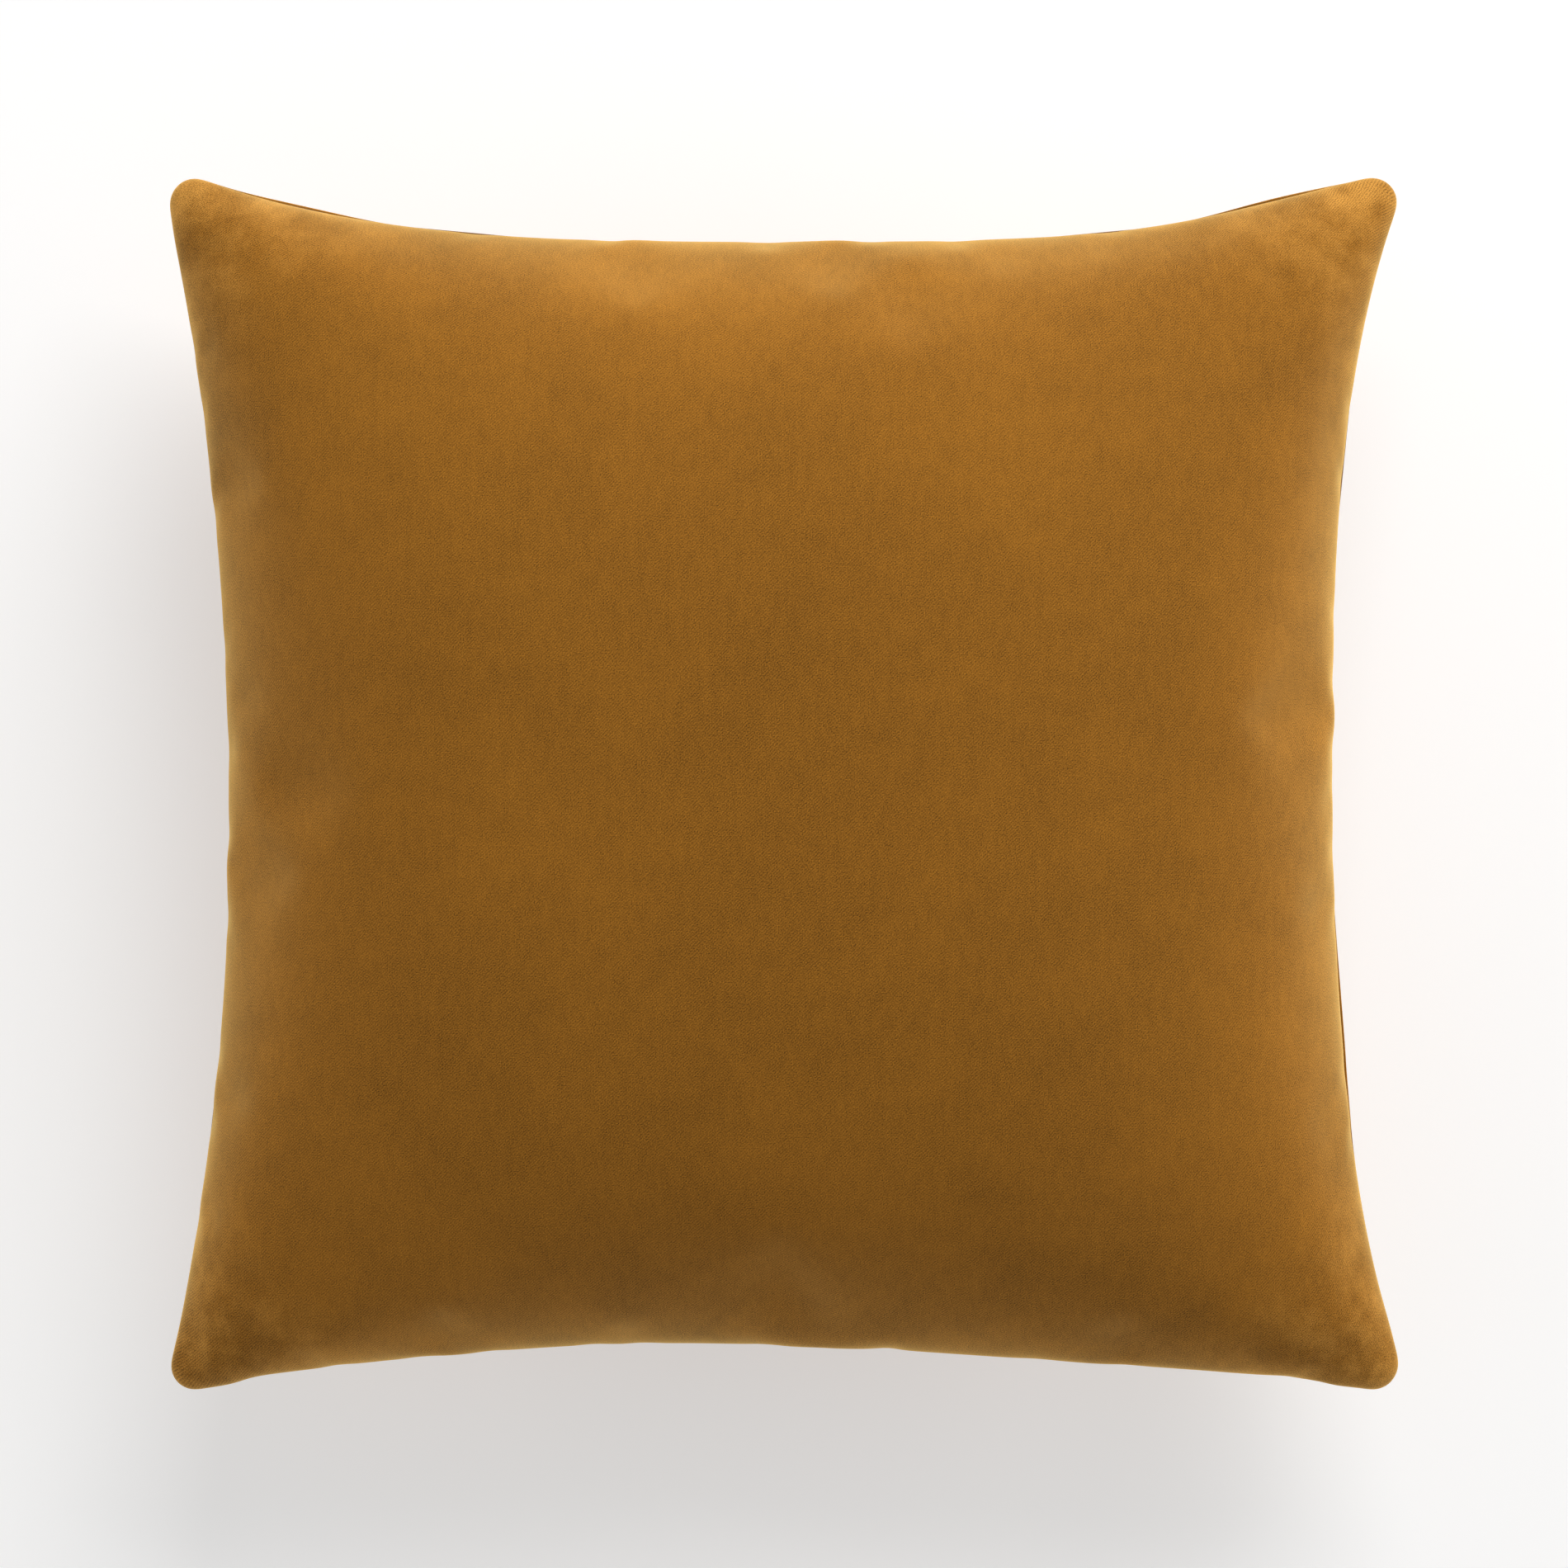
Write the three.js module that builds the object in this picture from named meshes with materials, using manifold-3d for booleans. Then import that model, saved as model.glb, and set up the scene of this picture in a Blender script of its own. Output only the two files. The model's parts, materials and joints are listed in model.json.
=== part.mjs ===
// A square velvet throw pillow: a cover of two panels with a hidden zipper in one seam, round a
// filled cotton insert. It lies on its back. +X runs along the zipper, +Y leads away from it, and
// +Z points up out of the front panel. Millimetres. The origin is under the centre, on the surface
// that the pillow rests on.

import * as THREE from 'three';
import { mergeVertices } from 'three/addons/utils/BufferGeometryUtils.js';
import Module from 'manifold-3d';

const wasm = await Module();
wasm.setup();

// ---------------------------------------------------------------- driving dimensions

const HALF_WIDTH = 245; // centre to the outermost points of the corners, along X
const HALF_DEPTH = 242; // the same along Y
const CORNER_RADIUS = 10.5;
const ZIP_ARC_RADIUS = 1450; // the zipper side is pulled in to a circular arc of this radius
// The other sides are pulled in to curves: how far the middle is from the centre, and how
// flat the middle stretch is (2 is a parabola, more is flatter)
const SIDE_CURVES = {
  right: { middle: 219.5, flatness: 3 },
  top: { middle: 217, flatness: 3.2 },
  left: { middle: 221, flatness: 2 },
  zip: { middle: 223, flatness: 2 }, // used inside the cover, where the exact arc isn't needed
};

const SEAM_HEIGHT = 80; // the plane of the seams
const CROWN = 92; // how high each panel would bulge from the seam plane
const CORNER_STEPS = 4;
const COVER_SIDE_STEPS = 8;
const INSERT_SIDE_STEPS = 6;
const ZIP_SIDE_STEPS = 12;
const COVER_RINGS = [0.99, 0.96, 0.89, 0.77, 0.6, 0.35, 0.17];
const INSERT_RINGS = [0.98, 0.91, 0.77, 0.57, 0.3];

const VELVET = 1.2; // thickness of the cover's cloth
const TICKING = 0.8; // thickness of the insert's cloth
const INSERT_INSET = 21; // insert's seam behind the cover's edge
const INSERT_PLAY = 2.5; // play between cover and insert at the crown
const FILL_INSET = 35;
const FILL_PLAY = 1.2;
const FLOOR_PLAY = 1; // between the layers where the pillow is pressed flat
const FILLING_OPENING = 100; // half-length of the insert's filling opening

const FOLD_DEPTH = 4.8; // the zipper's folded edges lie this far behind the cover's edge
const ZIP_MOUTH_HALF = 209.5; // half-length of the stretch that is left open for the zipper
const ZIP_MOUTH_FADE = 221.5; // and where the seam is a plain one again
const TAPE_HALF = 205;
const COIL_START = -191;
const COIL_END = 193.5;
const SLIDER_REST = 188; // slider's place along the arc when the zipper is closed
const SLIDER_LENGTH = 9;
const PIN_OUT = 3.1; // the pull tab's pin, outside the folded edges
const TAB_LENGTH = 17;

const COLOURS = {
  velvet: 0x98692c,
  velvetBack: 0x8f6229,
  thread: 0x8a5c24,
  overlock: 0xa77a3c,
  tape: 0x7d5524,
  coil: 0x8c6230,
  metal: 0x9a7440,
  label: 0xf2efe8,
  ticking: 0xeeeae0,
  white: 0xf6f4ee,
  fill: 0xf4f1ea,
};

// Sections of the cover's edge, as [inward from the cover's edge, away from the seam plane].
// The outside runs from the end of the seam allowance, round the folded edge, to the crown.
const PLAIN_OUTSIDE = [[8, 0.75], [5, 0.75], [2.5, 0.75], [0.4, 0.75], [0, 1.4], [0, 2.4], [0.1, 3.2]];
const PLAIN_INSIDE = [[8, 1.95], [5, 1.95], [2.2, 2], [1.6, 2.3], [1.5, 2.7], [1.9, 3.1]];
const ZIP_OUTSIDE = [[12.8, 4.4], [8, 4.4], [6, 0.75], [4.8, 0.75], [2.2, 2.43], [0.56, 4.4], [0, 6.5]];
const ZIP_INSIDE = [[12.8, 5.6], [7.7, 5.6], [5, 2.05], [2.9, 3.4], [1.7, 4.9], [1.2, 6.6]];
const INSERT_OUTSIDE = [[6, 0.5], [3, 0.5], [0.3, 0.5], [0, 1.6]];
const INSERT_INSIDE = [[6, 1.3], [3, 1.3], [1.4, 1.4], [1.1, 2]];

// Sections of the two labels, each from where it is sewn on to its free end.
const COVER_LABEL_HALF_WIDTH = 12;
const COVER_LABEL = [
  [2.8, 2.25], [9.9, 2.25], [12.3, 4], [13.2, 19], [12.8, 19], [11.9, 4.4], [9.8, 2.65], [2.8, 2.65],
];
const INSERT_LABEL_HALF_WIDTH = 14;
const INSERT_LABEL = [
  [1.6, -0.2], [1.6, 0.2], [-2.6, 0.2], [-3.6, -2], [-4.2, -26], [-3.8, -26], [-3.2, -2.1], [-2.4, -0.2],
];

// Sections of the zipper's long parts, as [inward from the folded edges, away from the seam plane].
// Each tape begins at the edge that holds the coil and ends in the seam allowance.
const TAPE = [[1.73, 1.12], [2.17, 0.88], [3.66, 3.6], [11.6, 3.6], [11.6, 4.1], [3.36, 4.1]];
const COIL_INWARD = 3.8;
const COIL_AWAY = 1.5;
const COIL_RADIUS = 0.8;
const STITCH_INWARD = 7.5;
const STITCH_AWAY = 3.05;
const STITCH_RADIUS = 0.22;
const TAPE_STEPS = 24;
const COIL_STEPS = 36;
const STOP_DEPTH = [3.9, 5.4]; // the stops, inward from the folded edges
const STOP_AWAY = [0.7, 3]; // each top stop, away from the seam plane; the bottom one spans both
const TOP_STOP_PLACES = [193.8, 196.3];
const BOTTOM_STOP_PLACES = [-194.2, -191.4];

// ---------------------------------------------------------------- the outline

// Centre of the zipper side's arc, outside the pillow. The arc is tangent to the corner circles.
const CORNER_X = HALF_WIDTH - CORNER_RADIUS;
const CORNER_Y = HALF_DEPTH - CORNER_RADIUS;
const TANGENT_RADIUS = ZIP_ARC_RADIUS + CORNER_RADIUS;
const ARC_CENTRE_Y = -(CORNER_Y + Math.sqrt(TANGENT_RADIUS ** 2 - CORNER_X ** 2));

// The cover's zipper side in its own terms: x along the side, level outward from the centre.
function zipSide() {
  const tilt = Math.asin(CORNER_X / TANGENT_RADIUS);
  return {
    tilt,
    halfLength: ZIP_ARC_RADIUS * Math.sin(tilt),
    level: (x) => -ARC_CENTRE_Y - Math.sqrt(ZIP_ARC_RADIUS ** 2 - x ** 2),
    slope: (x) => x / Math.sqrt(ZIP_ARC_RADIUS ** 2 - x ** 2),
  };
}

// A side pulled in to a power curve that leaves its corner circles smoothly.
function curvedSide(alongHalf, outHalf, middle, flatness) {
  let tilt = 0;
  let halfLength = 0;
  let pull = 0;
  for (let i = 0; i < 30; i++) {
    halfLength = alongHalf - CORNER_RADIUS - CORNER_RADIUS * Math.sin(tilt);
    pull = outHalf - CORNER_RADIUS + CORNER_RADIUS * Math.cos(tilt) - middle;
    tilt = Math.atan((flatness * pull) / halfLength);
  }
  const steepest = (flatness * pull) / halfLength;
  return {
    tilt,
    halfLength,
    level: (x) => middle + pull * Math.abs(x / halfLength) ** flatness,
    slope: (x) => Math.sign(x) * steepest * Math.abs(x / halfLength) ** (flatness - 1),
  };
}

// Places along the zipper side: the mouth, and the short seams beyond it.
function zipPlaces(halfLength) {
  const places = [-halfLength, -ZIP_MOUTH_FADE];
  for (let i = 0; i <= ZIP_SIDE_STEPS; i++) {
    places.push(ZIP_MOUTH_HALF * ((2 * i) / ZIP_SIDE_STEPS - 1));
  }
  places.push(ZIP_MOUTH_FADE, halfLength);
  return places;
}

// Places along any other side, closer together towards its ends, where it bends more, and any
// extra ones that a piece on it needs.
function sidePlaces(halfLength, steps, extra) {
  const places = [...extra];
  for (let i = 0; i <= steps; i++) {
    places.push(halfLength * Math.sin((Math.PI / 2) * ((2 * i) / steps - 1)));
  }
  return places.sort((a, b) => a - b);
}

// The outline, anticlockwise from the zipper side's start. Each sample has its place (x, y), its
// outward normal (nx, ny), the side it is on and its place along it, and how much of a corner it
// is (0 to 1).
function outline(inset, sideSteps, topPlaces = []) {
  const halfWidth = HALF_WIDTH - inset;
  const halfDepth = HALF_DEPTH - inset;
  const curve = (name, alongHalf, outHalf) =>
    curvedSide(alongHalf, outHalf, SIDE_CURVES[name].middle - inset, SIDE_CURVES[name].flatness);
  const zip = inset === 0 ? zipSide() : curve('zip', halfWidth, halfDepth);
  const sides = [
    { name: 'zip', turn: -Math.PI / 2, shape: zip },
    { name: 'right', turn: 0, shape: curve('right', halfDepth, halfWidth) },
    { name: 'top', turn: Math.PI / 2, shape: curve('top', halfWidth, halfDepth) },
    { name: 'left', turn: Math.PI, shape: curve('left', halfDepth, halfWidth) },
  ];
  const samples = [];
  sides.forEach((side, k) => {
    const out = new THREE.Vector2(Math.cos(side.turn), Math.sin(side.turn));
    const along = new THREE.Vector2(-out.y, out.x);
    const { halfLength, level, slope } = side.shape;
    const zipMouth = side.name === 'zip' && inset === 0;
    const extra = side.name === 'top' ? topPlaces : [];
    const places = zipMouth ? zipPlaces(halfLength) : sidePlaces(halfLength, sideSteps, extra);
    for (const at of places) {
      const length = Math.hypot(1, slope(at));
      samples.push({
        x: along.x * at + out.x * level(at),
        y: along.y * at + out.y * level(at),
        nx: (out.x - along.x * slope(at)) / length,
        ny: (out.y - along.y * slope(at)) / length,
        side: side.name,
        at,
      });
    }
    const centreX = Math.sign(out.x + along.x) * (halfWidth - CORNER_RADIUS);
    const centreY = Math.sign(out.y + along.y) * (halfDepth - CORNER_RADIUS);
    const start = side.turn - side.shape.tilt;
    const stop = side.turn + Math.PI / 2 + sides[(k + 1) % sides.length].shape.tilt;
    for (let i = 1; i < CORNER_STEPS; i++) {
      const angle = start + ((stop - start) * i) / CORNER_STEPS;
      const nx = Math.cos(angle);
      const ny = Math.sin(angle);
      const x = centreX + CORNER_RADIUS * nx;
      const y = centreY + CORNER_RADIUS * ny;
      samples.push({ x, y, nx, ny, side: 'corner', at: 0 });
    }
  });
  for (const s of samples) {
    s.cornerness = Math.sin(2 * Math.atan2(s.y, s.x)) ** 4;
  }
  return samples;
}

const COVER_EDGE = outline(0, COVER_SIDE_STEPS);
const OPENING_ENDS = [-1, 1].flatMap((end) => [end * (FILLING_OPENING - 2), end * (FILLING_OPENING + 2)]);
const INSERT_EDGE = outline(INSERT_INSET, INSERT_SIDE_STEPS, OPENING_ENDS);
const FILL_EDGE = outline(FILL_INSET, INSERT_SIDE_STEPS);

// ---------------------------------------------------------------- solids from rings and bands

// Point at `inward` from the edge and `away` above (+1) or below (-1) the seam plane.
function edgePoint(s, inward, away, up) {
  return [s.x - s.nx * inward, s.y - s.ny * inward, SEAM_HEIGHT + up * away];
}

// Ring of a panel's crown at the fraction `rho` from the centre (0) to the edge (1).
function crownRing(samples, rho, start, crown, up, floor) {
  return samples.map((s, i) => {
    const [inward, away] = start(i);
    const rise = Math.sqrt((1 - rho ** 2) * (1 - s.cornerness * rho ** 2));
    const [x, y, z] = edgePoint(s, inward, away + (crown - away) * rise, up);
    return [x * rho, y * rho, Math.max(z, floor)];
  });
}

// A closed body from rings of equal length, with a point at each end. From the ring `turn` on, the
// rings run back the way they came, and the quads are split along the same diagonals as outside.
function ringBody(first, rings, last, turn = rings.length) {
  const count = rings[0].length;
  const positions = [first, ...rings.flat(), last];
  const end = positions.length - 1;
  const index = [];
  for (let i = 0; i < count; i++) {
    const j = (i + 1) % count;
    index.push(0, 1 + i, 1 + j);
    for (let r = 0; r + 1 < rings.length; r++) {
      const a = 1 + r * count;
      const b = a + count;
      if (r < turn) {
        index.push(a + i, b + i, b + j, a + i, b + j, a + j);
      } else {
        index.push(a + i, b + i, a + j, b + i, b + j, a + j);
      }
    }
    const lastRing = 1 + (rings.length - 1) * count;
    index.push(lastRing + i, end, lastRing + j);
  }
  return bodyOf(positions, index);
}

// A section swept along samples of an edge. The section's points are [inward, up].
function band(samples, section) {
  const shape = section.map(([u, v]) => new THREE.Vector2(u, v));
  if (THREE.ShapeUtils.isClockWise(shape)) {
    shape.reverse();
  }
  const count = shape.length;
  const positions = samples.flatMap((s) => shape.map((p) => edgePoint(s, p.x, p.y, 1)));
  const index = [];
  for (let k = 0; k + 1 < samples.length; k++) {
    for (let i = 0; i < count; i++) {
      const j = (i + 1) % count;
      const a = k * count;
      const b = a + count;
      index.push(a + i, b + j, b + i, a + i, a + j, b + j);
    }
  }
  const last = (samples.length - 1) * count;
  for (const [a, b, c] of THREE.ShapeUtils.triangulateShape(shape, [])) {
    index.push(a, c, b, last + a, last + b, last + c);
  }
  return bodyOf(positions, index);
}

// Geometry with its faces turned outward.
function bodyOf(positions, index) {
  let volume = 0;
  for (let i = 0; i < index.length; i += 3) {
    const [a, b, c] = [0, 1, 2].map((k) => new THREE.Vector3(...positions[index[i + k]]));
    volume += a.dot(b.cross(c));
  }
  const faces = volume < 0 ? index.slice().reverse() : index;
  const geometry = new THREE.BufferGeometry();
  geometry.setAttribute('position', new THREE.Float32BufferAttribute(positions.flat(), 3));
  geometry.setIndex(faces);
  geometry.computeVertexNormals();
  return geometry;
}

// A round section for a thread or a coil.
function roundSection(inward, away, radius, corners) {
  const points = [];
  for (let i = 0; i < corners; i++) {
    const angle = (2 * Math.PI * i) / corners;
    points.push([inward + radius * Math.cos(angle), away + radius * Math.sin(angle)]);
  }
  return points;
}

function boxSection(fromInward, toInward, fromAway, toAway) {
  return [[fromInward, fromAway], [toInward, fromAway], [toInward, toAway], [fromInward, toAway]];
}

// The samples of an edge without a gap in it, starting just past the gap.
function around(samples, inGap) {
  const last = samples.findLastIndex(inGap);
  return [...samples.slice(last + 1), ...samples.slice(0, last + 1)].filter((s) => !inGap(s));
}

// Samples along the zipper's arc, `at` millimetres from its middle, measured on the folded edge.
function zipSamples(from, to, steps) {
  const samples = [];
  for (let i = 0; i <= steps; i++) {
    const angle = (from + ((to - from) * i) / steps) / FOLD_RADIUS;
    const x = ZIP_ARC_RADIUS * Math.sin(angle);
    const y = ARC_CENTRE_Y + ZIP_ARC_RADIUS * Math.cos(angle);
    samples.push({ x, y, nx: -Math.sin(angle), ny: -Math.cos(angle) });
  }
  return samples;
}

const FOLD_RADIUS = ZIP_ARC_RADIUS + FOLD_DEPTH;

// A section given from the folded edges, moved to where the band builder counts from.
function fromFold(section, up) {
  return section.map(([u, v]) => [u + FOLD_DEPTH, up * v]);
}

// ---------------------------------------------------------------- manifold

function solid(geometry) {
  const bare = geometry.clone();
  bare.deleteAttribute('normal');
  bare.deleteAttribute('uv');
  const merged = mergeVertices(bare, 1e-4);
  return new wasm.Manifold(
    new wasm.Mesh({
      numProp: 3,
      vertProperties: new Float32Array(merged.attributes.position.array),
      triVerts: new Uint32Array(merged.index.array),
    }),
  );
}

function geometryOf(manifold) {
  const mesh = manifold.getMesh();
  const geometry = new THREE.BufferGeometry();
  geometry.setAttribute('position', new THREE.Float32BufferAttribute(mesh.vertProperties, 3));
  geometry.setIndex([...mesh.triVerts]);
  geometry.computeVertexNormals();
  return geometry;
}

// A flat plate, from its outline in X and Y, centred on z = 0.
function plate(shape, thickness, curveSegments = 10) {
  const settings = { depth: thickness, bevelEnabled: false, curveSegments };
  const geometry = new THREE.ExtrudeGeometry(shape, settings);
  return geometry.translate(0, 0, -thickness / 2);
}

// ---------------------------------------------------------------- the cover

// How much of the zipper's section a sample of the cover's edge has: 1 in its mouth, else 0.
function zipShare(s) {
  return s.side === 'zip' && Math.abs(s.at) < ZIP_MOUTH_HALF + 1 ? 1 : 0;
}

// The recess of the fold lasts a little longer than the mouth, so that the pull tab can lie in it.
function recessShare(s) {
  return s.side === 'zip' && Math.abs(s.at) < ZIP_MOUTH_FADE + 1 ? 1 : 0;
}

function blend(a, b, share) {
  return a.map((value, i) => value + (b[i] - value) * share);
}

// The section of the edge between the two end sections. Past the mouth the allowances close up
// while the folded edge is still recessed.
function edgeSection(s, k, plain, zip, allowancePoints) {
  const [inward, away] = blend(plain[k], zip[k], recessShare(s));
  if (k >= allowancePoints || zipShare(s) === 1 || recessShare(s) === 0) {
    return [inward, away];
  }
  return [inward, plain[k][1]];
}

function coverPanel(up) {
  const outerFloor = up > 0 ? -Infinity : 0;
  const innerFloor = up > 0 ? -Infinity : VELVET;
  const outsideAt = (s, k) => edgeSection(s, k, PLAIN_OUTSIDE, ZIP_OUTSIDE, 4);
  const insideAt = (s, k) => edgeSection(s, k, PLAIN_INSIDE, ZIP_INSIDE, 3);
  const outside = PLAIN_OUTSIDE.map((_, k) =>
    COVER_EDGE.map((s) => edgePoint(s, ...outsideAt(s, k), up)));
  const inside = PLAIN_INSIDE.map((_, k) =>
    COVER_EDGE.map((s) => edgePoint(s, ...insideAt(s, k), up)));
  const lastOutside = (i) => outsideAt(COVER_EDGE[i], PLAIN_OUTSIDE.length - 1);
  const lastInside = (i) => insideAt(COVER_EDGE[i], PLAIN_INSIDE.length - 1);
  const outer = COVER_RINGS.map((rho) =>
    crownRing(COVER_EDGE, rho, lastOutside, CROWN, up, outerFloor));
  const inner = COVER_RINGS.map((rho) =>
    crownRing(COVER_EDGE, rho, lastInside, CROWN - VELVET, up, innerFloor));
  const rings = [...outer.reverse(), ...outside.reverse(), ...inside, ...inner];
  const outerTop = [0, 0, Math.max(SEAM_HEIGHT + up * CROWN, outerFloor)];
  const innerTop = [0, 0, Math.max(SEAM_HEIGHT + up * (CROWN - VELVET), innerFloor)];
  return ringBody(outerTop, rings, innerTop, outer.length + outside.length);
}

const inZipMouth = (s) => s.side === 'zip' && Math.abs(s.at) < ZIP_MOUTH_HALF + 1;
const CLOSED_SEAM = around(COVER_EDGE, inZipMouth);

// The thread lies between the allowances, behind the folded edge wherever that is.
function coverSeamThread() {
  const shifted = CLOSED_SEAM.map((s) => {
    const recess = recessShare(s) * FOLD_DEPTH;
    return { ...s, x: s.x - s.nx * recess, y: s.y - s.ny * recess };
  });
  return band(shifted, roundSection(1.7, 0, 0.3, 6));
}

function coverOverlock() {
  const plain = CLOSED_SEAM.filter((s) => recessShare(s) === 0);
  return band(plain, boxSection(8.3, 9, -1.95, 1.95));
}

// A straight strip across the edge at one sample of it.
function label(middle, section, halfWidth) {
  const ends = [-halfWidth, halfWidth].map((d) => ({
    ...middle,
    x: middle.x - middle.ny * d,
    y: middle.y + middle.nx * d,
  }));
  return band(ends, section);
}

// The label is sewn on the left side's allowance and turns up inside the cover.
function coverLabel() {
  const middle = COVER_EDGE.find((s) => s.side === 'left' && s.at > 50);
  return label(middle, COVER_LABEL, COVER_LABEL_HALF_WIDTH);
}

// ---------------------------------------------------------------- the zipper

function zipperTape(up) {
  return band(zipSamples(-TAPE_HALF, TAPE_HALF, TAPE_STEPS), fromFold(TAPE, up));
}

function zipperCoil(up) {
  const section = roundSection(COIL_INWARD, COIL_AWAY, COIL_RADIUS, 6);
  return band(zipSamples(COIL_START, COIL_END, COIL_STEPS), fromFold(section, up));
}

function zipperStitch(up) {
  const section = roundSection(STITCH_INWARD, STITCH_AWAY, STITCH_RADIUS, 5);
  return band(zipSamples(-TAPE_HALF, TAPE_HALF, TAPE_STEPS), fromFold(section, up));
}

function zipperSideOverlock(up) {
  const mouth = COVER_EDGE.filter(inZipMouth);
  return band(mouth, fromFold(boxSection(8.3, 8.9, 4.4, 5.6), up));
}

function topStop(up) {
  return band(zipSamples(...TOP_STOP_PLACES, 1), fromFold(boxSection(...STOP_DEPTH, ...STOP_AWAY), up));
}

function bottomStop() {
  const [, reach] = STOP_AWAY;
  return band(zipSamples(...BOTTOM_STOP_PLACES, 1), fromFold(boxSection(...STOP_DEPTH, -reach, reach), 1));
}

// The slider in its own place: x along the zipper, y inward from the folded edges, z up.
// A shallow channel lies behind the coils, and a thin plate passes between the folded edges to
// hold the pull tab's pin.
function slider() {
  const channel = new THREE.Shape(
    [[3.9, -3.3], [5.7, -3.3], [5.7, 3.3], [3.9, 3.3], [3.9, 2.6], [4.9, 2.6], [4.9, -2.6], [3.9, -2.6]]
      .map(([y, z]) => new THREE.Vector2(y, z)));
  const body = plate(channel, SLIDER_LENGTH);
  body.applyMatrix4(new THREE.Matrix4().makeBasis(
    new THREE.Vector3(0, 1, 0), new THREE.Vector3(0, 0, 1), new THREE.Vector3(1, 0, 0)));
  const bridge = new THREE.Shape();
  bridge.moveTo(-2.6, 5.3);
  bridge.lineTo(-2.6, -0.6);
  bridge.lineTo(-1.5, -2.2);
  bridge.lineTo(-1.5, -PIN_OUT);
  bridge.absarc(0, -PIN_OUT, 1.5, Math.PI, 2 * Math.PI, false);
  bridge.lineTo(1.5, -2.2);
  bridge.lineTo(2.6, -0.6);
  bridge.lineTo(2.6, 5.3);
  bridge.holes.push(new THREE.Path().absarc(0, -PIN_OUT, 0.8, 0, 2 * Math.PI, true));
  return geometryOf(solid(body).add(solid(plate(bridge, 0.8))));
}

// The pull tab about its pin, which runs along z. The tab points along -x when it is at rest.
function pullTab() {
  const leaf = new THREE.Shape();
  leaf.moveTo(-2.2, -1.35);
  leaf.lineTo(-2.2, 1.35);
  leaf.quadraticCurveTo(-8, 1.2, -TAB_LENGTH + 2, 2);
  leaf.absarc(-TAB_LENGTH + 2, 0, 2, Math.PI / 2, (3 * Math.PI) / 2, false);
  leaf.quadraticCurveTo(-8, -1.2, -2.2, -1.35);
  leaf.holes.push(new THREE.Path().absarc(-TAB_LENGTH + 2.2, 0, 0.8, 0, 2 * Math.PI, true));
  const blade = plate(leaf, 0.9, 8).rotateX(Math.PI / 2);
  const ear = new THREE.Shape();
  ear.moveTo(0, 1.2);
  ear.lineTo(-2.8, 0.45);
  ear.lineTo(-2.8, -0.45);
  ear.lineTo(0, -1.2);
  ear.absarc(0, 0, 1.2, -Math.PI / 2, Math.PI / 2, false);
  const ears = [-1, 1].map((side) => solid(plate(ear, 0.6, 6).translate(0, 0, side * 1.05)));
  const pin = solid(new THREE.CylinderGeometry(0.5, 0.5, 2.4, 10).rotateX(Math.PI / 2));
  return geometryOf(solid(blade).add(ears[0]).add(ears[1]).add(pin));
}

// ---------------------------------------------------------------- the insert

function insertPanel(up) {
  const outerFloor = up > 0 ? -Infinity : VELVET + FLOOR_PLAY;
  const innerFloor = outerFloor + (up > 0 ? 0 : TICKING);
  const crown = CROWN - VELVET - INSERT_PLAY;
  const outside = INSERT_OUTSIDE.map((p) => INSERT_EDGE.map((s) => edgePoint(s, ...p, up)));
  const inside = INSERT_INSIDE.map((p) => INSERT_EDGE.map((s) => edgePoint(s, ...p, up)));
  const lastOutside = () => INSERT_OUTSIDE.at(-1);
  const lastInside = () => INSERT_INSIDE.at(-1);
  const outer = INSERT_RINGS.map((rho) =>
    crownRing(INSERT_EDGE, rho, lastOutside, crown, up, outerFloor));
  const inner = INSERT_RINGS.map((rho) =>
    crownRing(INSERT_EDGE, rho, lastInside, crown - TICKING, up, innerFloor));
  const rings = [...outer.reverse(), ...outside.reverse(), ...inside, ...inner];
  const outerTop = [0, 0, Math.max(SEAM_HEIGHT + up * crown, outerFloor)];
  const innerTop = [0, 0, Math.max(SEAM_HEIGHT + up * (crown - TICKING), innerFloor)];
  return ringBody(outerTop, rings, innerTop, outer.length + outside.length);
}

const inFillingOpening = (s) => s.side === 'top' && Math.abs(s.at) < FILLING_OPENING;
const SEWN_SEAM = around(INSERT_EDGE, inFillingOpening);
const FILLED_SEAM = INSERT_EDGE.filter(inFillingOpening);
const THREAD_SECTION = roundSection(2.2, 0, 0.2, 5);

function insertOverlock() {
  return band(SEWN_SEAM, boxSection(6.3, 7, -1.3, 1.3));
}

function insertLabel() {
  const middle = INSERT_EDGE.find((s) => s.side === 'right' && s.at > -20);
  return label(middle, INSERT_LABEL, INSERT_LABEL_HALF_WIDTH);
}

function insertFill() {
  const crown = CROWN - VELVET - INSERT_PLAY - TICKING - FILL_PLAY;
  const floor = VELVET + FLOOR_PLAY + TICKING + FLOOR_PLAY;
  const start = () => [0, 1.5];
  const ring = (rho, up) => crownRing(FILL_EDGE, rho, start, crown, up, floor);
  const upper = INSERT_RINGS.map((rho) => ring(rho, 1)).reverse();
  const lower = INSERT_RINGS.map((rho) => ring(rho, -1));
  const edges = [1, -1].map((up) => FILL_EDGE.map((s) => edgePoint(s, ...start(), up)));
  const rings = [...upper, ...edges, ...lower];
  return ringBody([0, 0, SEAM_HEIGHT + crown], rings, [0, 0, floor], upper.length + 1);
}

// ---------------------------------------------------------------- assembly

function piece(name, geometry, color, roughness, metalness = 0) {
  const material = new THREE.MeshStandardMaterial({ color, roughness, metalness });
  const mesh = new THREE.Mesh(geometry, material);
  mesh.name = name;
  return mesh;
}

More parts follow.
